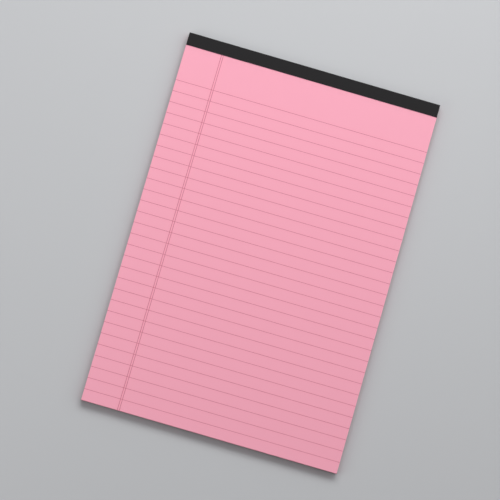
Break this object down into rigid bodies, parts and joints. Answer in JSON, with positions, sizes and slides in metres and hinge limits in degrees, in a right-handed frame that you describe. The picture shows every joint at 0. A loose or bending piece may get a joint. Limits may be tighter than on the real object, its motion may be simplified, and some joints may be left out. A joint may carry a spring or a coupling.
{
  "type": "writing pad",
  "caption": "Pink ruled A4 writing pad, bound along its head by folded charcoal tape over wire staples, with a chipboard back and tear-off perforated leaves.",
  "frame": {"origin": "middle of the pad's footprint on the desk it lies on", "axes": "+Z out of the writing face, +Y towards the taped head, +X to the writer's right"},
  "size_m": [0.21, 0.3082, 0.0064],
  "materials": {
    "paper": "matte",
    "chipboard": "matte",
    "tape": "matte",
    "staple_wire": "satin",
    "feint_ink": "matte",
    "margin_ink": "matte"
  },
  "bodies": {
    "root": {"page_block": "paper", "backing_board": "chipboard", "binding_tape": "tape", "staples": "staple_wire", "feint_ruling": "feint_ink", "margin_ruling": "margin_ink"}
  },
  "joints": []
}
